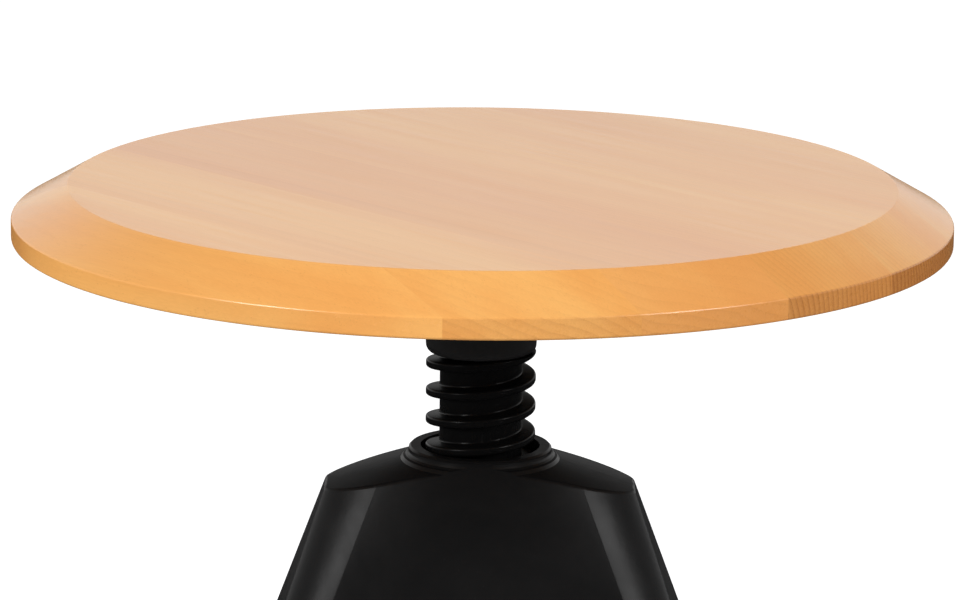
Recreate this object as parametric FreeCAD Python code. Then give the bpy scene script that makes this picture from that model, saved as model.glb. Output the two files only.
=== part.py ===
"""Screw stool: round beech seat, moulded spindle and nut, black hub, four angle legs.

Millimetres, origin on the floor under the spindle, +Z up, +X to the viewer's right,
-Y towards the viewer. The spindle is drawn at its photographed height.
"""
import math
import os

import FreeCAD
import Part

V = FreeCAD.Vector
UP = V(0, 0, 1)
ORIGIN = V(0, 0, 0)

# Seat: a disc with one wide bevel, glued up from straight staves
SEAT_TOP = 500.0
SEAT_R = 180.0
SEAT_FLAT_R = 158.5
BEVEL_DROP = 12.2
RIM_H = 8.1
SEAT_EDGE = 1.0
SEAT_BOTTOM = SEAT_TOP - BEVEL_DROP - RIM_H
STAVE_ANGLE = -49.0
STAVE_JOINTS = [-128.0, -70.0, -12.0, 46.0, 104.0]
PILOT_R = 2.35
PILOT_DEPTH = 13.5

# Seat carrier: ribbed plate with the boss that grips the spindle
PLATE_R = 80.0
PLATE_T = 5.0
LIP_T = 3.5
LIP_BOTTOM = 466.0
BOSS_R = 21.4
BOSS_SHOULDER = 437.0
BOSS_BOTTOM = 434.0
BOSS_NOSE_R = 19.0
RIB_T = 3.5
RIB_COUNT = 6
RIB_ANGLE = 11.0
SCREW_CIRCLE_R = 62.0
SCREW_ANGLE = -19.0
SCREW_COUNT = 6
SCREW_BOSS_R = 7.0
SCREW_BOSS_BOTTOM = 470.0
RECESS_R = 13.0
RECESS_Z = 470.2
WEB_BOTTOM = 464.2

# Spindle: single-start right-hand thread with rounded lands
PITCH = 11.1
THREAD_R = 21.25
CORE_R = 15.9
CREST_HALF = 1.65
CREST_ROUND = 1.0
FLANK_LEAN = 0.5
ROOT_FILLET = 0.8
SPINDLE_BOTTOM = 222.0
CREST_AT_AZIMUTH_0 = 412.55
HEX_AF = 24.0
HEX_TOP = 463.9
THREAD_CLEARANCE = 0.35
SECTION_ARCS = 4
STEPS_PER_TURN = 8

# Fastenings on the spindle's axis
TOP_INSERT_R = 7.0
TOP_INSERT_LEN = 22.0
TOP_BOLT_R = 5.0
STOP_INSERT_R = 6.5
STOP_INSERT_LEN = 20.0
STOP_BOLT_R = 4.0
SHOULDER_R = 6.0
SHOULDER_LEN = 3.5
STOP_WASHER_R = 20.0
STOP_WASHER_T = 3.0

# Nut: drops into the hub's socket from below
NUT_TOP = 382.0
NUT_BOTTOM = 337.0
NUT_R = 24.0
FLANGE_T = 6.0
FLANGE_X = 46.0
FLANGE_Y = 26.0
NUT_SCREW_X = 37.0
NUT_SCREW_Y = 17.0

# Hub: hollow moulding, bowed front and back at the top, flat-sided at the bottom
HUB_TOP = 400.0
HUB_BOTTOM = 250.0
TOP_HALF_X = 53.4
TOP_HALF_Y = 25.9
TOP_BOW_R = 88.3
TOP_CORNER_X = 34.0
TOP_CORNER_Y = 1.5
LOW_HALF_X = 106.0
LOW_HALF_Y = 70.0
LOW_CORNER_R = 14.0
HUB_WALL = 4.5
CONE_APEX = 401.9
CONE_SLOPE = 0.344
ROOF_T = 5.0
COLLAR_R = 27.65
COLLAR_TOP = 396.5
COLLAR_BORE_R = 23.1
COLLAR_FILLET = 3.2
HUB_EDGE = 2.0
SOCKET_R = 29.5
SOCKET_BOTTOM = 356.0
FRONT_ARCH_HALF = 52.0
FRONT_ARCH_RISE = 30.0
SIDE_ARCH_HALF = 32.0
SIDE_ARCH_RISE = 18.0

# Legs: angle castings that carry the hub's corners down to the floor
LEG_TOP = HUB_BOTTOM - 0.6
LEG_BOTTOM = 10.0
LEG_T = 5.4
LEG_WIDTH_X_TOP = 45.0
LEG_WIDTH_X_LOW = 25.0
LEG_WIDTH_Y_TOP = 34.0
LEG_WIDTH_Y_LOW = 25.0
SLOPE_X = (LOW_HALF_X - TOP_HALF_X) / (HUB_TOP - HUB_BOTTOM)
CORNER_Y_TOP = 13.5
SLOPE_Y = (LOW_HALF_Y - CORNER_Y_TOP) / (HUB_TOP - HUB_BOTTOM)
TONGUE_TOP = 325.0
TONGUE_BOTTOM = 222.0
TONGUE_GAP = 0.3
TONGUE_WIDTH_X = 38.0
TONGUE_WIDTH_Y = 30.0
TONGUE_TOP_CORNER_R = 15.5
BOLT_LEVELS = [(272.0, 37.0), (303.0, 29.0)]
BOLT_R = 3.0
BOLT_HOLE_R = 3.3
BOLT_HEAD_R = 5.5
BOLT_HEAD_H = 3.2
NUT_AF = 10.0
NUT_H = 5.0
WASHER_R = 6.0
WASHER_T = 1.2

# Feet
PAD_R = 11.5
PAD_TOP = 16.0
GLIDE_R = 13.5
GLIDE_SCREW_R = 3.0


def ring(outer, inner, z0, z1):
    """Vertical tube between two heights; inner 0 gives a solid cylinder."""
    body = Part.makeCylinder(outer, z1 - z0, V(0, 0, z0))
    if inner > 0:
        body = body.cut(Part.makeCylinder(inner, z1 - z0 + 2, V(0, 0, z0 - 1)))
    return body


def post(x, y, radius, z0, z1):
    return Part.makeCylinder(radius, z1 - z0, V(x, y, z0))


def block(x0, x1, y0, y1, z0, z1):
    return Part.makeBox(x1 - x0, y1 - y0, z1 - z0, V(x0, y0, z0))


def revolve(points):
    """Revolve a closed (radius, height) outline about the Z axis."""
    wire = Part.makePolygon([V(r, 0, z) for r, z in points + points[:1]])
    return Part.Face(wire).revolve(ORIGIN, UP, 360)


def soften(corners, chords=4):
    """Turn (radius, height, rounding) corners into points, each rounding as short chords."""
    points = []
    count = len(corners)
    for i in range(count):
        here = V(corners[i][0], 0, corners[i][1])
        rounding = corners[i][2]
        if not rounding:
            points.append((here.x, here.z))
            continue
        toward = []
        for j in (i - 1, (i + 1) % count):
            toward.append((V(corners[j][0], 0, corners[j][1]) - here).normalize())
        half = toward[0].getAngle(toward[1]) / 2
        centre = here + (toward[0] + toward[1]).normalize() * (rounding / math.sin(half))
        start = here + toward[0] * (rounding / math.tan(half)) - centre
        end = here + toward[1] * (rounding / math.tan(half)) - centre
        for k in range(chords + 1):
            share = k / chords
            spoke = (start * (1 - share) + end * share).normalize() * rounding
            points.append((centre.x + spoke.x, centre.z + spoke.z))
    return points


def hex_prism(across_flats, z0, z1, turn=0.0):
    corner = across_flats / math.sqrt(3)
    angles = [math.radians(60 * i + turn) for i in range(7)]
    wire = Part.makePolygon([V(corner * math.cos(a), corner * math.sin(a), z0) for a in angles])
    return Part.Face(wire).extrude(V(0, 0, z1 - z0))


def fuse_all(shapes):
    body = shapes[0].multiFuse(shapes[1:]) if len(shapes) > 1 else shapes[0]
    return body.removeSplitter()


def polar(radius, degrees):
    return radius * math.cos(math.radians(degrees)), radius * math.sin(math.radians(degrees))


def save(name, shape):
    """Write one node; a group of loose solids stays a compound."""
    solids = shape.Solids
    body = solids[0] if len(solids) == 1 else Part.makeCompound(solids)
    if not body.isValid():
        print("invalid shape:", name)
    body.exportStep("parts/%s.step" % name)
    print(name, len(solids), "solids", round(body.Volume), "mm3")


# Thread

def thread_outline(grow):
    """Horizontal section of the thread, walked once round the axis.

    At a fixed height the angle stands for the position along the pitch, so the axial
    profile (rounded land, leaning flank, root fillet, plain core) becomes a closed curve.
    """
    half = CREST_HALF + grow
    rounding = CREST_ROUND + grow
    centre = THREAD_R + grow - rounding
    core = CORE_R + grow
    side = [(0, centre + rounding)]
    for step in range(7):
        a = math.radians(15 * step)
        side.append((half - rounding + rounding * math.sin(a), centre + rounding * math.cos(a)))
    root_start = half + FLANK_LEAN
    side.append((half + FLANK_LEAN / 2, (centre + core + ROOT_FILLET) / 2))
    side.append((root_start, core + ROOT_FILLET))
    for degrees in (30, 60, 90):
        a = math.radians(degrees)
        along = root_start + ROOT_FILLET * (1 - math.cos(a))
        side.append((along, core + ROOT_FILLET * (1 - math.sin(a))))
    root_end = root_start + ROOT_FILLET
    for step in range(1, 9):
        side.append((root_end + (PITCH / 2 - root_end) * step / 8, core))
    whole = side + [(PITCH - along, r) for along, r in reversed(side[1:-1])]
    turns = [(-2 * math.pi * along / PITCH, r) for along, r in whole]
    return [V(r * math.cos(a), r * math.sin(a), 0) for a, r in turns]


def turned(point, z):
    """Carry a point of the thread section up the screw to a height."""
    turn = 2 * math.pi * (z - CREST_AT_AZIMUTH_0) / PITCH
    x = point.x * math.cos(turn) - point.y * math.sin(turn)
    y = point.x * math.sin(turn) + point.y * math.cos(turn)
    return V(x, y, z)


def helical_patch(arc, z0, z1):
    """Surface swept by one arc of the section between two heights, at most a turn apart.

    Each pole follows its helix as a chain of cubic arcs: a pole at both ends and a pair
    of handles at every step in between.
    """
    steps = max(1, math.ceil((z1 - z0) / PITCH * STEPS_PER_TURN))
    rise = (z1 - z0) / steps
    handle = 4 / 3 * math.tan(math.pi * rise / PITCH / 2)
    grid = []
    for pole in arc.getPoles():
        along = V(-pole.y, pole.x, 0) * handle
        row = []
        for k in range(steps + 1):
            z = z0 + rise * k
            lift = V(0, 0, rise / 3)
            before = turned(pole - along, z) - lift
            after = turned(pole + along, z) + lift
            if k == 0:
                row += [turned(pole, z), after]
            elif k == steps:
                row += [before, turned(pole, z)]
            else:
                row += [before, after]
        grid.append(row)
    surface = Part.BSplineSurface()
    surface.buildFromPolesMultsKnots(grid, arc.getMultiplicities(), [4] + [2] * (steps - 1) + [4],
                                     arc.getKnots(), [float(k) for k in range(steps + 1)],
                                     False, False, arc.Degree, 3)
    return surface.toShape()


def thread(z0, z1, grow=0.0):
    """Threaded rod: helical patches turn by turn, closed by two flat ends."""
    curve = Part.BSplineCurve()
    curve.interpolate(Points=thread_outline(grow), PeriodicFlag=True)
    step = (curve.LastParameter - curve.FirstParameter) / SECTION_ARCS
    arcs = []
    for i in range(SECTION_ARCS):
        arc = curve.copy()
        arc.segment(curve.FirstParameter + step * i, curve.FirstParameter + step * (i + 1))
        arcs.append(arc)
    levels = [z0]
    while levels[-1] + PITCH < z1 - 0.1:
        levels.append(levels[-1] + PITCH)
    levels.append(z1)
    faces = []
    for low, high in zip(levels, levels[1:]):
        for arc in arcs:
            faces.append(helical_patch(arc, low, high))
    for z in (z0, z1):
        section = Part.Wire([arc.toShape() for arc in arcs])
        section.rotate(ORIGIN, UP, 360 * (z - CREST_AT_AZIMUTH_0) / PITCH)
        section.translate(V(0, 0, z))
        faces.append(Part.Face(section))
    shell = Part.makeShell(faces)
    shell.sewShape()
    body = Part.Solid(shell.Shells[0])
    if body.Volume < 0:
        body.reverse()
    return body


# Seat

def screw_spots():
    return [polar(SCREW_CIRCLE_R, SCREW_ANGLE + 360 / SCREW_COUNT * i) for i in range(SCREW_COUNT)]


def seat_disc():
    disc = revolve(soften([(0, SEAT_BOTTOM, 0), (SEAT_R, SEAT_BOTTOM, SEAT_EDGE),
                           (SEAT_R, SEAT_BOTTOM + RIM_H, SEAT_EDGE),
                           (SEAT_FLAT_R, SEAT_TOP, SEAT_EDGE), (0, SEAT_TOP, 0)]))
    low = SEAT_BOTTOM - 1
    high = SEAT_BOTTOM + PILOT_DEPTH
    pilots = [post(x, y, PILOT_R, low, high) for x, y in screw_spots()]
    return disc.cut(Part.makeCompound(pilots))


def make_staves():
    disc = seat_disc()
    edges = [-SEAT_R - 5] + STAVE_JOINTS + [SEAT_R + 5]
    for i in range(len(edges) - 1):
        strip = block(-200, 200, edges[i], edges[i + 1], SEAT_BOTTOM - 2, SEAT_TOP + 2)
        strip.rotate(ORIGIN, UP, STAVE_ANGLE)
        save("seat_stave_%d" % (i + 1), disc.common(strip))


def make_carrier():
    nose = []
    for step in range(7):
        a = math.radians(15 * step)
        nose.append((BOSS_NOSE_R + (BOSS_R - BOSS_NOSE_R) * math.sin(a),
                     BOSS_SHOULDER - (BOSS_SHOULDER - BOSS_BOTTOM) * math.cos(a)))
    boss = revolve([(0, BOSS_BOTTOM)] + nose + [(BOSS_R, SEAT_BOTTOM), (0, SEAT_BOTTOM)])
    plate = ring(PLATE_R, 0, SEAT_BOTTOM - PLATE_T, SEAT_BOTTOM)
    lip = ring(PLATE_R, PLATE_R - LIP_T, LIP_BOTTOM, SEAT_BOTTOM)
    rib_outline = [V(BOSS_R - 3, -RIB_T / 2, SEAT_BOTTOM - 2), V(PLATE_R - 2, -RIB_T / 2, SEAT_BOTTOM - 2),
                   V(PLATE_R - 2, -RIB_T / 2, LIP_BOTTOM + 1), V(BOSS_R - 3, -RIB_T / 2, 448)]
    pieces = [plate, lip, boss]
    for i in range(RIB_COUNT):
        rib = Part.Face(Part.makePolygon(rib_outline + rib_outline[:1])).extrude(V(0, RIB_T, 0))
        rib.rotate(ORIGIN, UP, RIB_ANGLE + 360 / RIB_COUNT * i)
        pieces.append(rib)
    for x, y in screw_spots():
        pieces.append(post(x, y, SCREW_BOSS_R, SCREW_BOSS_BOTTOM, SEAT_BOTTOM - 1))
    body = fuse_all(pieces)
    cuts = [ring(RECESS_R, 0, RECESS_Z, SEAT_BOTTOM + 1), ring(TOP_BOLT_R + 0.3, 0, WEB_BOTTOM - 1, RECESS_Z + 1),
            hex_prism(HEX_AF + 0.3, BOSS_BOTTOM - 1, WEB_BOTTOM)]
    for x, y in screw_spots():
        cuts.append(post(x, y, PILOT_R + 0.3, SCREW_BOSS_BOTTOM - 1, SEAT_BOTTOM + 1))
    save("seat_carrier", body.cut(Part.makeCompound(cuts)))


def make_seat_screws():
    screws = []
    for x, y in screw_spots():
        head = revolve([(0, SCREW_BOSS_BOTTOM - 2.8), (3.2, SCREW_BOSS_BOTTOM - 2.8),
                        (4.7, SCREW_BOSS_BOTTOM - 1.4), (4.7, SCREW_BOSS_BOTTOM), (2.3, SCREW_BOSS_BOTTOM),
                        (2.3, SEAT_BOTTOM + 10), (0.6, SEAT_BOTTOM + PILOT_DEPTH - 0.5), (0, SEAT_BOTTOM + PILOT_DEPTH - 0.5)])
        recess = hex_prism(3.6, SCREW_BOSS_BOTTOM - 4, SCREW_BOSS_BOTTOM - 1.0)
        screw = head.cut(recess)
        screw.translate(V(x, y, 0))
        screws.append(screw)
    save("seat_screws", Part.makeCompound(screws))


# Spindle and its fastenings

def make_spindle():
    body = thread(SPINDLE_BOTTOM, BOSS_BOTTOM)
    body = body.fuse(hex_prism(HEX_AF, BOSS_BOTTOM, HEX_TOP))
    body = body.cut(ring(TOP_INSERT_R, 0, HEX_TOP - TOP_INSERT_LEN - 14, HEX_TOP + 1))
    body = body.cut(ring(STOP_INSERT_R, 0, SPINDLE_BOTTOM - 1, SPINDLE_BOTTOM + STOP_INSERT_LEN + 10))
    save("spindle", body)


def make_spindle_fastenings():
    save("spindle_insert", ring(TOP_INSERT_R - 0.02, TOP_BOLT_R + 0.05, HEX_TOP - TOP_INSERT_LEN, HEX_TOP))
    save("spindle_washer", ring(RECESS_R - 1, TOP_BOLT_R + 0.3, RECESS_Z, RECESS_Z + 1.8))
    under_head = RECESS_Z + 1.8
    head = hex_prism(16.0, under_head, under_head + 6.2)
    shank = ring(TOP_BOLT_R, 0, HEX_TOP - TOP_INSERT_LEN - 6, under_head)
    save("spindle_bolt", fuse_all([head, shank]))
    save("stop_insert", ring(STOP_INSERT_R - 0.02, STOP_BOLT_R + 0.05, SPINDLE_BOTTOM,
                             SPINDLE_BOTTOM + STOP_INSERT_LEN))
    seat = SPINDLE_BOTTOM - SHOULDER_LEN
    head = ring(11.0, 0, seat - 5.5, seat).cut(hex_prism(8.0, seat - 6.5, seat - 2.5))
    shoulder = ring(SHOULDER_R, 0, seat, SPINDLE_BOTTOM)
    shank = ring(STOP_BOLT_R, 0, SPINDLE_BOTTOM, SPINDLE_BOTTOM + STOP_INSERT_LEN + 4)
    save("stop_bolt", fuse_all([head, shoulder, shank]))
    low = SPINDLE_BOTTOM - SHOULDER_LEN + 0.1
    save("stop_washer", ring(STOP_WASHER_R, SHOULDER_R + 0.3, low, low + STOP_WASHER_T))


# Hub

def rounded_corner(start, corner, end):
    """Quarter of an ellipse from start to end, its tangents meeting at the corner."""
    curve = Part.BezierCurve()
    curve.setPoles([start, corner, end])
    curve.setWeight(2, math.sqrt(0.5))
    return curve.toShape()


def plan_wire(z, half_x, half_y, bow_r, corner_x, corner_y):
    """Closed plan outline: bowed or straight front and back, straight sides, round corners.

    Each corner runs from corner_x on the front or back to corner_y on the side.
    """
    front_y = half_y
    lean = 0.0
    if bow_r:
        root = math.sqrt(bow_r * bow_r - corner_x * corner_x)
        front_y = half_y - bow_r + root
        lean = corner_x / root
    tip_y = front_y - (half_x - corner_x) * lean

    def corner_at(sx, sy):
        return (V(sx * corner_x, sy * front_y, z), V(sx * half_x, sy * tip_y, z),
                V(sx * half_x, sy * corner_y, z))

    def span(p, q, y_mid):
        if bow_r:
            return Part.Arc(p, V(0, y_mid, z), q).toShape()
        return Part.makeLine(p, q)

    front_right = corner_at(1, -1)
    back_right = corner_at(1, 1)[::-1]
    back_left = corner_at(-1, 1)
    front_left = corner_at(-1, -1)[::-1]
    edges = [rounded_corner(*front_right), Part.makeLine(front_right[2], back_right[0]),
             rounded_corner(*back_right), span(back_right[2], back_left[0], half_y),
             rounded_corner(*back_left), Part.makeLine(back_left[2], front_left[0]),
             rounded_corner(*front_left), span(front_left[2], front_right[0], -half_y)]
    return Part.Wire(edges)


def hub_loft(inset):
    bow_r = TOP_BOW_R - inset
    top = plan_wire(HUB_TOP, TOP_HALF_X - inset, TOP_HALF_Y - inset, bow_r,
                    TOP_CORNER_X * bow_r / TOP_BOW_R, TOP_CORNER_Y)
    low = plan_wire(HUB_BOTTOM, LOW_HALF_X - inset, LOW_HALF_Y - inset, 0,
                    LOW_HALF_X - LOW_CORNER_R, LOW_HALF_Y - LOW_CORNER_R)
    return Part.makeLoft([low, top], True, True)


def cone_roof(drop):
    """Everything below the shallow cone that forms the hub's shoulders."""
    reach = 180.0
    apex = CONE_APEX - drop
    return revolve([(0, HUB_BOTTOM - 5), (reach, HUB_BOTTOM - 5), (reach, apex - CONE_SLOPE * reach), (0, apex)])


def top_edges(shape):
    """Edges where the shoulders meet the walls."""
    found = []
    for edge in shape.Edges:
        box = edge.BoundBox
        flat_enough = box.ZLength < 14 and box.ZMin > 370
        if flat_enough and max(box.XLength, box.YLength) > 4:
            found.append(edge)
    return found


def collar_foot():
    """Collar wall with the concave fillet that runs out on to the shoulders."""
    foot = COLLAR_R + COLLAR_FILLET
    points = [(10, 380), (foot + 1, 380), (foot + 1, CONE_APEX - CONE_SLOPE * (foot + 1) - 0.3),
              (foot, CONE_APEX - CONE_SLOPE * foot)]
    centre_z = CONE_APEX - CONE_SLOPE * COLLAR_R + COLLAR_FILLET * 0.9
    for step in range(1, 6):
        a = math.radians(18 * step)
        points.append((foot - COLLAR_FILLET * math.sin(a), centre_z - COLLAR_FILLET * 0.9 * math.cos(a)))
    points += [(COLLAR_R, COLLAR_TOP - 0.8), (COLLAR_R - 0.8, COLLAR_TOP), (10, COLLAR_TOP)]
    return revolve(points)


def arch(half_width, rise, along_x):
    radius = (half_width ** 2 + rise ** 2) / (2 * rise)
    z = HUB_BOTTOM + rise - radius
    direction = V(1, 0, 0) if along_x else V(0, 1, 0)
    return Part.makeCylinder(radius, 400, V(0, 0, z) - direction * 200, direction)


def leg_bolt_places():
    """Centre on the outer side wall and outward direction of every leg bolt."""
    places = []
    tilt = math.atan(SLOPE_X)
    for sx in (-1, 1):
        for sy in (-1, 1):
            for z, y in BOLT_LEVELS:
                x = LOW_HALF_X - SLOPE_X * (z - HUB_BOTTOM)
                outward = V(sx * math.cos(tilt), 0, math.sin(tilt))
                places.append((V(sx * x, sy * y, z), outward))
    return places


def make_hub():
    shell = hub_loft(0).common(cone_roof(0))
    shell = shell.makeFillet(HUB_EDGE, top_edges(shell))
    foot = collar_foot().common(hub_loft(0).fuse(ring(COLLAR_R, 0, 380, COLLAR_TOP + 1)))
    shell = shell.cut(hub_loft(HUB_WALL).common(cone_roof(ROOF_T)))
    inside = hub_loft(1.0).common(cone_roof(2.0))
    pieces = [ring(SOCKET_R, 0, SOCKET_BOTTOM, 392)]
    for sx in (-1, 1):
        pieces.append(block(min(sx * 24, sx * 75), max(sx * 24, sx * 75), -2, 2, 344, 396))
        for sy in (-1, 1):
            pieces.append(post(sx * NUT_SCREW_X, sy * NUT_SCREW_Y, 6.5, NUT_BOTTOM + FLANGE_T, 400))
    inner = fuse_all(pieces).common(inside)
    body = shell.fuse(foot).fuse(inner)
    cuts = [ring(COLLAR_BORE_R, 0, NUT_TOP - 1, CONE_APEX + 2), ring(NUT_R + 0.2, 0, 300, NUT_TOP),
            arch(FRONT_ARCH_HALF, FRONT_ARCH_RISE, False), arch(SIDE_ARCH_HALF, SIDE_ARCH_RISE, True)]
    for sx in (-1, 1):
        for sy in (-1, 1):
            cuts.append(post(sx * NUT_SCREW_X, sy * NUT_SCREW_Y, 2.1, NUT_BOTTOM, NUT_BOTTOM + FLANGE_T + 17))
    for centre, outward in leg_bolt_places():
        cuts.append(Part.makeCylinder(BOLT_HOLE_R, 20, centre - outward * 10, outward))
    for cut in cuts:
        body = body.cut(cut)
    save("hub", body)


def make_nut():
    body = fuse_all([ring(NUT_R, 0, NUT_BOTTOM, NUT_TOP),
                     block(-FLANGE_X, FLANGE_X, -FLANGE_Y, FLANGE_Y, NUT_BOTTOM, NUT_BOTTOM + FLANGE_T)])
    corners = [e for e in body.Edges if abs(e.BoundBox.ZLength - FLANGE_T) < 0.01 and e.BoundBox.XLength < 0.01]
    body = body.makeFillet(8.0, corners)
    for sx in (-1, 1):
        for sy in (-1, 1):
            body = body.cut(post(sx * NUT_SCREW_X, sy * NUT_SCREW_Y, 2.7, NUT_BOTTOM - 1, NUT_BOTTOM + FLANGE_T + 1))
    save("spindle_nut", body.cut(thread(NUT_BOTTOM - 6, NUT_TOP + 6, THREAD_CLEARANCE)))


def make_nut_screws():
    screws = []
    for sx in (-1, 1):
        for sy in (-1, 1):
            head = revolve([(0, NUT_BOTTOM - 3), (3.4, NUT_BOTTOM - 3), (4.8, NUT_BOTTOM - 1.6), (4.8, NUT_BOTTOM),
                            (2.05, NUT_BOTTOM), (2.05, NUT_BOTTOM + 20), (0, NUT_BOTTOM + 21.5)])
            screw = head.cut(hex_prism(3.6, NUT_BOTTOM - 4, NUT_BOTTOM - 1.2))
            screw.translate(V(sx * NUT_SCREW_X, sy * NUT_SCREW_Y, 0))
            screws.append(screw)
    save("nut_screws", Part.makeCompound(screws))


# Legs

def angle_wire(z, half_x, half_y, corner_r, width_x, width_y, thickness):
    """Closed angle section of the front right corner at one height."""
    cx = half_x - corner_r
    cy = half_y - corner_r
    inner_r = corner_r - thickness
    diagonal = math.sqrt(0.5)
    p = [V(half_x - width_x, -half_y, z), V(cx, -half_y, z), V(half_x, -cy, z),
         V(half_x, -half_y + width_y, z), V(half_x - thickness, -half_y + width_y, z),
         V(half_x - thickness, -cy, z), V(cx, -half_y + thickness, z),
         V(half_x - width_x, -half_y + thickness, z)]
    outer_mid = V(cx + corner_r * diagonal, -cy - corner_r * diagonal, z)
    inner_mid = V(cx + inner_r * diagonal, -cy - inner_r * diagonal, z)
    return Part.Wire([Part.makeLine(p[0], p[1]), Part.Arc(p[1], outer_mid, p[2]).toShape(),
                      Part.makeLine(p[2], p[3]), Part.makeLine(p[3], p[4]), Part.makeLine(p[4], p[5]),
                      Part.Arc(p[5], inner_mid, p[6]).toShape(), Part.makeLine(p[6], p[7]),
                      Part.makeLine(p[7], p[0])])


def outer_half_sizes(z):
    return LOW_HALF_X + SLOPE_X * (HUB_BOTTOM - z), LOW_HALF_Y + SLOPE_Y * (HUB_BOTTOM - z)


def leg_shape():
    """Front right leg: tapering angle, inner tongue and a round pad for the glide."""
    wires = []
    for z, wx, wy in ((LEG_BOTTOM, LEG_WIDTH_X_LOW, LEG_WIDTH_Y_LOW), (LEG_TOP, LEG_WIDTH_X_TOP, LEG_WIDTH_Y_TOP)):
        hx, hy = outer_half_sizes(z)
        wires.append(angle_wire(z, hx, hy, LOW_CORNER_R, wx, wy, LEG_T))
    angle = Part.makeLoft(wires, True, True)
    inset = HUB_WALL + TONGUE_GAP
    wires = []
    for z, narrow, corner_r in ((TONGUE_BOTTOM, 0, LOW_CORNER_R), (TONGUE_TOP, 6, TONGUE_TOP_CORNER_R)):
        hx, hy = outer_half_sizes(z)
        wires.append(angle_wire(z, hx - inset, hy - inset, corner_r - inset, TONGUE_WIDTH_X - narrow,
                                TONGUE_WIDTH_Y - narrow, 4.4))
    tongue = Part.makeLoft(wires, True, True)
    pad_x, pad_y = pad_centre()
    pad = post(pad_x, pad_y, PAD_R, LEG_BOTTOM, PAD_TOP)
    body = angle.fuse(tongue).fuse(pad)
    body = body.cut(post(pad_x, pad_y, GLIDE_SCREW_R + 0.05, LEG_BOTTOM - 1, PAD_TOP + 1))
    for centre, outward in leg_bolt_places():
        if centre.x > 0 and centre.y < 0:
            body = body.cut(Part.makeCylinder(BOLT_HOLE_R, 24, centre - outward * 18, outward))
    return body


def pad_centre():
    hx, hy = outer_half_sizes(LEG_BOTTOM)
    return hx - LOW_CORNER_R, -(hy - LOW_CORNER_R)


def at_corner(shape, sx, sy):
    """Copy a front right part to one of the four corners by mirroring."""
    if sx < 0:
        shape = shape.mirror(ORIGIN, V(1, 0, 0))
    if sy > 0:
        shape = shape.mirror(ORIGIN, V(0, 1, 0))
    return shape


CORNERS = [("front_left", -1, -1), ("front_right", 1, -1), ("back_left", -1, 1), ("back_right", 1, 1)]


def make_legs():
    leg = leg_shape()
    x, y = pad_centre()
    glide = revolve([(0, 0), (GLIDE_R - 2.5, 0), (GLIDE_R, 2.5), (GLIDE_R, LEG_BOTTOM - 0.8),
                     (GLIDE_R - 0.8, LEG_BOTTOM), (0, LEG_BOTTOM)])
    glide = glide.cut(ring(GLIDE_SCREW_R + 0.3, 0, -1, 20)).cut(ring(6.3, 0, -1, 5.0))
    screw = revolve([(0, 1.6), (5.2, 1.6), (5.9, 2.4), (5.9, 5.0), (GLIDE_SCREW_R, 5.0), (GLIDE_SCREW_R, PAD_TOP + 2),
                     (GLIDE_SCREW_R - 0.7, PAD_TOP + 2.7), (0, PAD_TOP + 2.7)])
    screw = screw.cut(hex_prism(4.0, 0, 3.6))
    screws = []
    for name, sx, sy in CORNERS:
        save("leg_" + name, at_corner(leg, sx, sy))
        foot = glide.copy()
        foot.translate(V(sx * x, -sy * y, 0))
        save("glide_" + name, foot)
        one = screw.copy()
        one.translate(V(sx * x, -sy * y, 0))
        screws.append(one)
    save("glide_screws", Part.makeCompound(screws))


def stand_on(shape, centre, outward):
    """Place a fastener drawn along +Z so its seat lies at centre and +Z points outward."""
    shape.Placement = FreeCAD.Placement(centre, FreeCAD.Rotation(UP, outward))
    return shape


def make_leg_fixings():
    tilt = math.cos(math.atan(SLOPE_X))
    stack = (HUB_WALL + TONGUE_GAP + 4.4) * tilt
    bolts = []
    nuts = []
    washers = []
    for centre, outward in leg_bolt_places():
        dome = revolve([(0, -stack - WASHER_T - NUT_H - 2), (BOLT_R, -stack - WASHER_T - NUT_H - 2), (BOLT_R, 0),
                        (BOLT_HEAD_R, 0), (BOLT_HEAD_R - 0.4, 1.2), (BOLT_HEAD_R - 2, BOLT_HEAD_H - 0.5),
                        (BOLT_HEAD_R - 3, BOLT_HEAD_H), (0, BOLT_HEAD_H)])
        bolt = dome.cut(hex_prism(4.0, 1.2, BOLT_HEAD_H + 1))
        bolts.append(stand_on(bolt, centre, outward))
        washer = ring(WASHER_R, BOLT_HOLE_R, -stack - WASHER_T, -stack)
        washers.append(stand_on(washer, centre, outward))
        nut = hex_prism(NUT_AF, -stack - WASHER_T - NUT_H, -stack - WASHER_T)
        nut = nut.cut(ring(BOLT_R + 0.05, 0, -30, 0))
        nuts.append(stand_on(nut, centre, outward))
    save("leg_bolts", Part.makeCompound(bolts))
    save("leg_washers", Part.makeCompound(washers))
    save("leg_nuts", Part.makeCompound(nuts))


os.makedirs("parts", exist_ok=True)
make_staves()
make_carrier()
make_seat_screws()
make_spindle()
make_spindle_fastenings()
make_hub()
make_nut()
make_nut_screws()
make_legs()
make_leg_fixings()
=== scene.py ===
"""Screw stool: materials, camera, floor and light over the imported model."""
import math

import bpy
from mathutils import Matrix, Vector

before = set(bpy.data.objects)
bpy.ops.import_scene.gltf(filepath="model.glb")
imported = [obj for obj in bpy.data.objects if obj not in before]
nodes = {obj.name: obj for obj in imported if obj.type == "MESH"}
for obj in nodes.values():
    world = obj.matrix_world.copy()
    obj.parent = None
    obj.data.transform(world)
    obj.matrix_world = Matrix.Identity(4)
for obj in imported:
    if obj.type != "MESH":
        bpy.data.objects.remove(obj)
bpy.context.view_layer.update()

# Camera, fitted to the seat's and the collar's outlines
CAM_PLACE = (0.0, -1.8199, 0.8637)
CAM_PITCH = -12.693
CAM_YAW = 0.022
CAM_ROLL = 0.597
CAM_LENS = 180.52

# Turn that brings the staves' grain on to the X axis, degrees
GRAIN_ANGLE = 49.0

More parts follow.
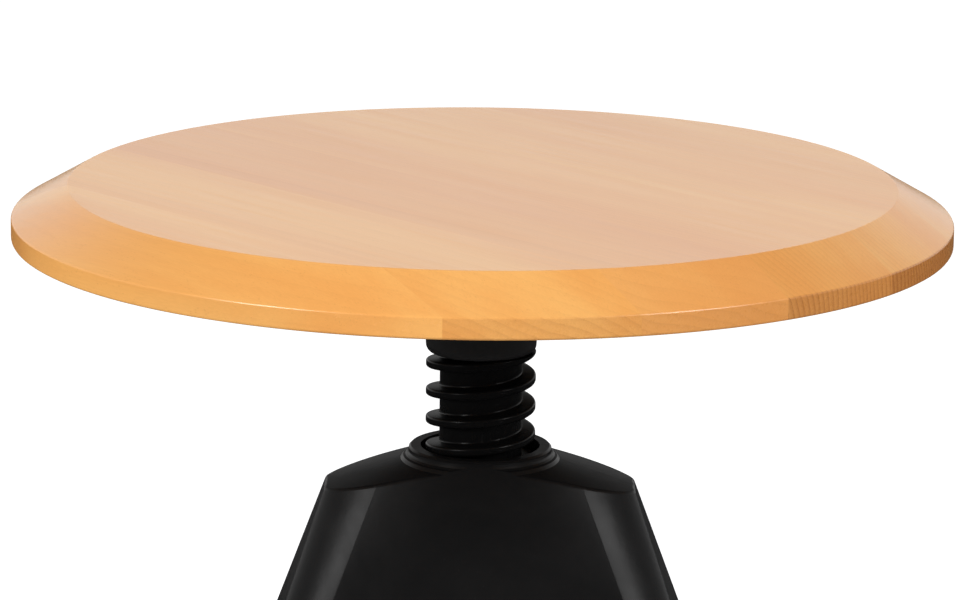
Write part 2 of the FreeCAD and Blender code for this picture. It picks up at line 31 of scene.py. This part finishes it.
# Floor: diffuse grey, its lift for the camera, and how dim it is in reflections
FLOOR_HALF = 12.0
FLOOR_GREY = 0.55
FLOOR_LIFT = 0.90
FLOOR_MIRRORED = 0.03

# Light: two softboxes at the front corners and a weak even fill
AMBIENT = 0.20
ROOM_MIRRORED = 0.08
CEILING_MIRRORED = 0.15
KEY_ACROSS = 2.1
KEY_FORWARD = -1.6
KEY_HEIGHT = 1.8
KEY_TARGET = (0, 0, 0.40)
KEY_SIZE = (0.9, 1.4)
KEY_LEFT_POWER = 63.0
KEY_RIGHT_POWER = 60.0


class Shader:
    """Small helper that adds nodes and joins them in one call."""

    def __init__(self, name):
        self.material = bpy.data.materials.new(name)
        self.material.use_nodes = True
        self.tree = self.material.node_tree
        self.tree.nodes.clear()
        self.output = self.add("ShaderNodeOutputMaterial")

    def add(self, kind, inputs=None, **settings):
        node = self.tree.nodes.new(kind)
        for key, value in settings.items():
            setattr(node, key, value)
        for key, value in (inputs or {}).items():
            self.put(node, key, value)
        return node

    def put(self, node, key, value):
        socket = node.inputs[key]
        if isinstance(value, bpy.types.NodeSocket):
            self.tree.links.new(value, socket)
        else:
            socket.default_value = value

    def math(self, operation, *values):
        node = self.add("ShaderNodeMath", operation=operation)
        for i, value in enumerate(values):
            self.put(node, i, value)
        return node.outputs[0]

    def vector(self, operation, *values):
        node = self.add("ShaderNodeVectorMath", operation=operation)
        for i, value in enumerate(values):
            self.put(node, i, value)
        return node.outputs["Value" if operation == "DOT_PRODUCT" else "Vector"]

    def remap(self, value, low, high, to_low=0.0, to_high=1.0, kind="LINEAR"):
        node = self.add("ShaderNodeMapRange", {"Value": value, "From Min": low, "From Max": high,
                                               "To Min": to_low, "To Max": to_high},
                        interpolation_type=kind)
        return node.outputs["Result"]

    def smooth(self, value, low, high, to_low=0.0, to_high=1.0):
        return self.remap(value, low, high, to_low, to_high, "SMOOTHSTEP")

    def noise(self, vector, scale=1.0, detail=2.0, roughness=0.5, distortion=0.0):
        node = self.add("ShaderNodeTexNoise", {"Vector": vector, "Scale": scale, "Detail": detail,
                                               "Roughness": roughness, "Distortion": distortion})
        return node.outputs["Fac"]

    def mix(self, factor, a, b):
        node = self.add("ShaderNodeMix", data_type="RGBA", blend_type="MIX")
        self.put(node, 0, factor)
        self.put(node, 6, a)
        self.put(node, 7, b)
        return node.outputs[2]

    def bump(self, height, strength, distance, normal=None):
        inputs = {"Height": height, "Strength": strength, "Distance": distance}
        if normal is not None:
            inputs["Normal"] = normal
        return self.add("ShaderNodeBump", inputs).outputs["Normal"]

    def principled(self, **values):
        node = self.add("ShaderNodeBsdfPrincipled")
        for key, value in values.items():
            self.put(node, key.replace("_", " "), value)
        self.tree.links.new(node.outputs["BSDF"], self.output.inputs["Surface"])
        return self.material


def rgb(red, green, blue):
    """Linear colour from 0 to 255 display values."""
    out = []
    for value in (red, green, blue):
        c = value / 255
        out.append(c / 12.92 if c <= 0.04045 else ((c + 0.055) / 1.055) ** 2.4)
    return tuple(out) + (1.0,)


# Beech

def beech(name, seed, tone, pink, ring_tilt, ring_gap, ring_mark, end_mark):
    """Clear-lacquered beech for one stave.

    The pattern is solid: u runs along the stave, s across it and z up. tone and pink shift
    the stave's colour; ring_tilt, ring_gap and ring_mark place and weigh its growth rings;
    end_mark darkens the cut ends of the fibres on the rim.
    """
    sh = Shader(name)
    place = sh.add("ShaderNodeTexCoord").outputs["Object"]
    grain = math.radians(GRAIN_ANGLE)
    turned = sh.add("ShaderNodeMapping", {"Vector": place, "Rotation": (0, 0, grain),
                                          "Location": (0.37 * seed, 0.0, 0.0)}).outputs["Vector"]
    split = sh.add("ShaderNodeSeparateXYZ", {"Vector": turned})
    u = split.outputs["X"]
    s = split.outputs["Y"]
    z = split.outputs["Z"]

    def along(ku, ks, kz, shift=0.0):
        node = sh.add("ShaderNodeCombineXYZ")
        sh.put(node, "X", sh.math("MULTIPLY_ADD", u, ku, shift))
        sh.put(node, "Y", sh.math("MULTIPLY_ADD", s, ks, shift + 3.1 * seed))
        sh.put(node, "Z", sh.math("MULTIPLY", z, kz))
        return node.outputs["Vector"]

    wander = sh.math("SUBTRACT", sh.noise(along(3.0, 14.0, 14.0), detail=2.0), 0.5)
    across = sh.math("MULTIPLY_ADD", wander, 0.016, s)
    tilt = math.radians(ring_tilt)
    depth = sh.math("MULTIPLY_ADD", z, math.sin(tilt), sh.math("MULTIPLY", across, math.cos(tilt)))
    ring_phase = sh.math("MULTIPLY", depth, 1.0 / ring_gap)
    uneven = sh.noise(along(1.5, 40.0, 40.0, 7.0), detail=1.0)
    saw = sh.math("FRACT", sh.math("MULTIPLY_ADD", uneven, 1.6, ring_phase))
    ring = sh.math("POWER", saw, 3.0)
    patchy = sh.smooth(sh.noise(along(2.0, 30.0, 30.0, 3.0), detail=2.0), 0.35, 0.65, 0.25, 1.0)
    ring_here = sh.math("MULTIPLY", ring, patchy)

    broad = sh.noise(along(2.2, 26.0, 26.0, 1.0), detail=3.0, roughness=0.55)
    streak = sh.noise(along(9.0, 420.0, 420.0, 2.0), detail=3.0, roughness=0.6)
    fine = sh.noise(along(40.0, 1700.0, 1700.0, 4.0), detail=2.0, roughness=0.6)
    cells = sh.add("ShaderNodeTexVoronoi", {"Vector": along(330.0, 1500.0, 900.0, 5.0), "Scale": 1.0,
                                            "Randomness": 1.0}).outputs["Distance"]
    fleck = sh.smooth(cells, 0.10, 0.26, 1.0, 0.0)
    fleck = sh.math("MULTIPLY", fleck, sh.smooth(sh.noise(along(60.0, 240.0, 240.0, 6.0)), 0.42, 0.62))

    normal = sh.add("ShaderNodeNewGeometry").outputs["Normal"]
    fibres = (math.cos(grain), -math.sin(grain), 0.0)
    end_grain = sh.smooth(sh.math("ABSOLUTE", sh.vector("DOT_PRODUCT", normal, fibres)), 0.30, 0.95)

    light = rgb(246 + tone, 184 + tone, 104 + tone)
    warm = rgb(237 + tone, 165 + tone, 86 + tone)
    rose = rgb(237 + tone, 161 + tone, 94 + tone)
    brown = rgb(168, 104, 50)
    colour = sh.mix(sh.smooth(broad, 0.32, 0.68), light, warm)
    colour = sh.mix(pink, colour, rose)
    colour = sh.mix(sh.remap(streak, 0.35, 0.75, 0.0, 0.22), colour, warm)
    colour = sh.mix(sh.math("MULTIPLY", ring_here, ring_mark), colour, brown)
    colour = sh.mix(sh.math("MULTIPLY", fleck, 0.20), colour, brown)
    colour = sh.mix(sh.remap(fine, 0.3, 0.8, 0.0, 0.10), colour, brown)
    pores = sh.math("ADD", ring, sh.remap(fine, 0.3, 0.8, 0.0, 0.5))
    cut_ends = sh.math("MULTIPLY", sh.math("MULTIPLY_ADD", pores, 0.30, 0.35), end_mark)
    colour = sh.mix(sh.math("MULTIPLY", end_grain, cut_ends), colour, brown)

    rough = sh.remap(streak, 0.3, 0.7, 0.19, 0.26)
    rough = sh.math("MULTIPLY_ADD", end_grain, 0.06, rough)
    height = sh.math("ADD", sh.math("MULTIPLY", streak, 0.6), sh.math("MULTIPLY", fine, 0.4))
    return sh.principled(Base_Color=colour, Roughness=rough, IOR=1.48,
                         Normal=sh.bump(height, 0.12, 0.0002))


# Black moulding, coating, rubber and metal

def black_moulding(name, shade, rough, shine, grain_scale, grain_depth, scuffs):
    """Satin black plastic: fine orange peel, faint handling marks and scuffs.

    Faces that look up shine less: painted shade, their reflection is cut to stand in for the dim
    surroundings above them.
    """
    sh = Shader(name)
    place = sh.add("ShaderNodeTexCoord").outputs["Object"]
    peel = sh.noise(place, scale=grain_scale, detail=3.0, roughness=0.55)
    wave = sh.noise(place, scale=38.0, detail=2.0)
    smudge = sh.noise(place, scale=24.0, detail=5.0, roughness=0.65, distortion=0.8)
    scratch_place = sh.add("ShaderNodeMapping", {"Vector": place, "Scale": (1400.0, 1400.0, 60.0),
                                                 "Rotation": (0.35, 0.2, 0.4)}).outputs["Vector"]
    scratch = sh.smooth(sh.noise(scratch_place, detail=1.0), 0.72, 0.80)
    worn = sh.math("MULTIPLY", scratch, sh.smooth(sh.noise(place, scale=30.0, detail=3.0), 0.52, 0.68))
    marks = sh.math("MULTIPLY", worn, scuffs)
    worn_grey = rgb(shade + 46, shade + 45, shade + 44)
    dust_grey = rgb(shade + 9, shade + 8, shade + 8)
    colour = sh.mix(marks, rgb(shade, shade, shade + 0.5), worn_grey)
    colour = sh.mix(sh.remap(smudge, 0.35, 0.75, 0.0, 0.35), colour, dust_grey)
    level = sh.remap(smudge, 0.3, 0.7, rough - 0.05, rough + 0.07)
    level = sh.math("ADD", level, sh.math("MULTIPLY", marks, 0.2))
    normal = sh.add("ShaderNodeNewGeometry").outputs["Normal"]
    facing_up = sh.vector("DOT_PRODUCT", normal, (0.0, 0.0, 1.0))
    # Painted shade: faces that look up keep only a twentieth of their shine, a dimmed reflection
    # standing in for dim surroundings above
    shine_with_painted_shade_on_tops = sh.smooth(facing_up, 0.60, 0.90, shine, shine * 0.05)
    soft = sh.bump(wave, 0.10, 0.0006)
    return sh.principled(Base_Color=colour, Roughness=level, IOR=1.40, Specular_IOR_Level=shine_with_painted_shade_on_tops,
                         Normal=sh.bump(peel, 0.16, grain_depth, soft))


def powder_coat(name):
    """Black powder coating on the legs: fine grit under slight clouding."""
    sh = Shader(name)
    place = sh.add("ShaderNodeTexCoord").outputs["Object"]
    grit = sh.noise(place, scale=1100.0, detail=2.0, roughness=0.5)
    cloud = sh.noise(place, scale=20.0, detail=4.0, roughness=0.6)
    colour = sh.mix(sh.remap(cloud, 0.35, 0.7), rgb(27, 27, 27), rgb(34, 34, 34))
    level = sh.remap(cloud, 0.3, 0.7, 0.42, 0.52)
    return sh.principled(Base_Color=colour, Roughness=level, Specular_IOR_Level=0.35,
                         Normal=sh.bump(grit, 0.22, 0.00015))


def rubber(name):
    """Matt black rubber with some dust."""
    sh = Shader(name)
    place = sh.add("ShaderNodeTexCoord").outputs["Object"]
    grit = sh.noise(place, scale=900.0, detail=4.0, roughness=0.7)
    dust = sh.noise(place, scale=60.0, detail=4.0)
    colour = sh.mix(sh.remap(dust, 0.4, 0.8, 0.0, 0.6), rgb(30, 30, 30), rgb(52, 50, 48))
    level = sh.remap(dust, 0.3, 0.7, 0.65, 0.8)
    return sh.principled(Base_Color=colour, Roughness=level, Specular_IOR_Level=0.3,
                         Normal=sh.bump(grit, 0.3, 0.0002))


def metal(name, colour_a, colour_b, rough, turned_scale):
    """Plated or turned metal with fine tool lines and slight clouding."""
    sh = Shader(name)
    place = sh.add("ShaderNodeTexCoord").outputs["Object"]
    stretched = sh.add("ShaderNodeMapping", {"Vector": place, "Scale": (60.0, 60.0, turned_scale)})
    lines = sh.noise(stretched.outputs["Vector"], detail=2.0)
    cloud = sh.noise(place, scale=90.0, detail=4.0, roughness=0.6)
    colour = sh.mix(sh.remap(cloud, 0.3, 0.7), colour_a, colour_b)
    level = sh.remap(lines, 0.3, 0.7, rough - 0.06, rough + 0.08)
    return sh.principled(Base_Color=colour, Metallic=1.0, Roughness=level,
                         Normal=sh.bump(lines, 0.10, 0.00008))


def black_steel(name):
    """Blackened steel with a cloudy sheen."""
    sh = Shader(name)
    place = sh.add("ShaderNodeTexCoord").outputs["Object"]
    cloud = sh.noise(place, scale=160.0, detail=4.0, roughness=0.6)
    colour = sh.mix(sh.remap(cloud, 0.3, 0.7), rgb(34, 34, 36), rgb(52, 52, 54))
    level = sh.remap(cloud, 0.3, 0.7, 0.32, 0.48)
    return sh.principled(Base_Color=colour, Metallic=0.7, Roughness=level,
                         Normal=sh.bump(cloud, 0.08, 0.0001))


def dress(node, material):
    """Give one CAD node a single material."""
    mesh = nodes[node].data
    mesh.materials.clear()
    mesh.materials.append(material)
    for polygon in mesh.polygons:
        polygon.material_index = 0


STAVES = [
    # seed, tone, pink, ring tilt, ring gap, ring mark, end mark
    (1, 3, 0.05, 80.0, 0.0041, 0.05, 0.0),
    (2, 1, 0.10, 62.0, 0.0034, 0.07, 0.5),
    (3, -3, 0.45, 74.0, 0.0038, 0.09, 0.35),
    (4, 0, 0.20, 15.0, 0.0026, 0.07, 1.3),
    (5, 1, 0.05, 8.0, 0.0024, 0.09, 1.9),
    (6, -1, 0.15, 25.0, 0.0028, 0.08, 2.0),
]
for index, (seed, *looks) in enumerate(STAVES):
    dress("seat_stave_%d" % (index + 1), beech("beech_%d" % (index + 1), seed, *looks))

# Name, shade, roughness, shine, grain scale, grain depth, scuffs
hub_black = black_moulding("black_moulding_hub", 19, 0.34, 0.13, 420.0, 0.0002, 0.35)
screw_black = black_moulding("black_moulding_spindle", 15, 0.28, 0.14, 650.0, 0.0001, 0.2)
carrier_black = black_moulding("black_moulding_carrier", 38, 0.46, 0.30, 520.0, 0.0002, 0.1)
coat = powder_coat("black_powder_coat")
glide_rubber = rubber("glide_rubber")
zinc = metal("zinc_steel", rgb(196, 198, 200), rgb(172, 176, 182), 0.30, 900.0)
brass = metal("turned_brass", rgb(214, 178, 104), rgb(192, 150, 82), 0.26, 1400.0)
dark_steel = black_steel("blackened_steel")

dress("hub", hub_black)
dress("seat_carrier", carrier_black)
for node in ("spindle", "spindle_nut"):
    dress(node, screw_black)
for corner in ("front_left", "front_right", "back_left", "back_right"):
    dress("leg_" + corner, coat)
    dress("glide_" + corner, glide_rubber)
dress("leg_bolts", dark_steel)
for node in ("spindle_insert", "stop_insert"):
    dress(node, brass)
for node in ("seat_screws", "nut_screws", "spindle_washer", "spindle_bolt", "stop_bolt",
             "stop_washer", "leg_washers", "leg_nuts", "glide_screws"):
    dress(node, zinc)


# Camera

def make_camera():
    """Camera aimed by yaw, pitch and roll from its fitted place."""
    pitch = math.radians(CAM_PITCH)
    yaw = math.radians(CAM_YAW)
    roll = math.radians(CAM_ROLL)
    flat = math.cos(pitch)
    ahead = Vector((math.sin(yaw) * flat, math.cos(yaw) * flat, math.sin(pitch)))
    level = Vector((math.cos(yaw), -math.sin(yaw), 0.0))
    upright = level.cross(ahead)
    right = math.cos(roll) * level + math.sin(roll) * upright
    up = -math.sin(roll) * level + math.cos(roll) * upright
    data = bpy.data.cameras.new("camera")
    data.sensor_fit = "HORIZONTAL"
    data.sensor_width = 36.0
    data.lens = CAM_LENS
    data.clip_start = 0.05
    data.clip_end = 60.0
    camera = bpy.data.objects.new("camera", data)
    turn = Matrix((right, up, -ahead)).transposed().to_4x4()
    camera.matrix_world = Matrix.Translation(CAM_PLACE) @ turn
    bpy.context.scene.collection.objects.link(camera)
    bpy.context.scene.camera = camera


# Floor and light

def make_floor():
    """Plain pale floor that takes the shadow and stays dim in reflections."""
    mesh = bpy.data.meshes.new("floor")
    corners = [(x * FLOOR_HALF, y * FLOOR_HALF, 0) for x, y in ((-1, -1), (1, -1), (1, 1), (-1, 1))]
    mesh.from_pydata(corners, [], [(0, 1, 2, 3)])
    floor = bpy.data.objects.new("floor", mesh)
    bpy.context.scene.collection.objects.link(floor)
    sh = Shader("floor")
    rays = sh.add("ShaderNodeLightPath")
    seen = sh.math("MAXIMUM", rays.outputs["Is Camera Ray"], rays.outputs["Is Transmission Ray"])
    pale = sh.add("ShaderNodeBsdfDiffuse", {"Color": (FLOOR_GREY, FLOOR_GREY, FLOOR_GREY, 1.0)})
    lift_level = sh.math("MULTIPLY", seen, FLOOR_LIFT)
    lift = sh.add("ShaderNodeEmission", {"Color": (1, 1, 1, 1), "Strength": lift_level})
    both = sh.add("ShaderNodeAddShader")
    sh.tree.links.new(pale.outputs[0], both.inputs[0])
    sh.tree.links.new(lift.outputs[0], both.inputs[1])
    dim = sh.add("ShaderNodeEmission", {"Color": (1, 1, 1, 1), "Strength": FLOOR_MIRRORED})
    choice = sh.add("ShaderNodeMixShader", {"Fac": rays.outputs["Is Glossy Ray"]})
    sh.tree.links.new(both.outputs[0], choice.inputs[1])
    sh.tree.links.new(dim.outputs[0], choice.inputs[2])
    sh.tree.links.new(choice.outputs[0], sh.output.inputs["Surface"])
    mesh.materials.append(sh.material)


def make_world():
    """White to the camera. Reflections see a low white backdrop behind, a dim room elsewhere."""
    world = bpy.data.worlds.new("studio")
    world.use_nodes = True
    bpy.context.scene.world = world
    tree = world.node_tree
    tree.nodes.clear()
    rays = tree.nodes.new("ShaderNodeLightPath")
    split = tree.nodes.new("ShaderNodeSeparateXYZ")
    tree.links.new(tree.nodes.new("ShaderNodeTexCoord").outputs["Generated"], split.inputs[0])

    def fade(axis, start, end, low, high):
        level = tree.nodes.new("ShaderNodeMapRange")
        level.interpolation_type = "SMOOTHSTEP"
        level.inputs["From Min"].default_value = start
        level.inputs["From Max"].default_value = end
        level.inputs["To Min"].default_value = low
        level.inputs["To Max"].default_value = high
        tree.links.new(split.outputs[axis], level.inputs["Value"])
        return level.outputs["Result"]

    backdrop = fade("Y", -0.5, 0.3, ROOM_MIRRORED, 1.0)
    low_down = fade("Z", 0.30, 0.75, 1.0, CEILING_MIRRORED)
    mirrored = tree.nodes.new("ShaderNodeMath")
    mirrored.operation = "MULTIPLY"
    tree.links.new(backdrop, mirrored.inputs[0])
    tree.links.new(low_down, mirrored.inputs[1])

    def choose(ray, otherwise, when):
        level = tree.nodes.new("ShaderNodeMapRange")
        tree.links.new(rays.outputs[ray], level.inputs["Value"])
        for socket, value in (("To Min", otherwise), ("To Max", when)):
            if isinstance(value, float):
                level.inputs[socket].default_value = value
            else:
                tree.links.new(value, level.inputs[socket])
        return level.outputs["Result"]

    level = choose("Is Glossy Ray", AMBIENT, mirrored.outputs[0])
    level = choose("Is Transmission Ray", level, 1.0)
    level = choose("Is Camera Ray", level, 1.0)
    sky = tree.nodes.new("ShaderNodeBackground")
    sky.inputs["Color"].default_value = (1.0, 1.0, 1.0, 1.0)
    tree.links.new(level, sky.inputs["Strength"])
    out = tree.nodes.new("ShaderNodeOutputWorld")
    tree.links.new(sky.outputs[0], out.inputs["Surface"])


def make_softbox(name, side, power):
    """Rectangular lamp at one front corner, aimed under the seat."""
    data = bpy.data.lights.new(name, "AREA")
    data.shape = "RECTANGLE"
    data.size, data.size_y = KEY_SIZE
    data.energy = power
    box = bpy.data.objects.new(name, data)
    place = Vector((side * KEY_ACROSS, KEY_FORWARD, KEY_HEIGHT))
    turn = (Vector(KEY_TARGET) - place).to_track_quat("-Z", "Y").to_matrix().to_4x4()
    box.matrix_world = Matrix.Translation(place) @ turn
    bpy.context.scene.collection.objects.link(box)


make_camera()
make_floor()
make_world()
make_softbox("key_left", -1, KEY_LEFT_POWER)
make_softbox("key_right", 1, KEY_RIGHT_POWER)

bpy.context.scene.view_settings.view_transform = "Standard"
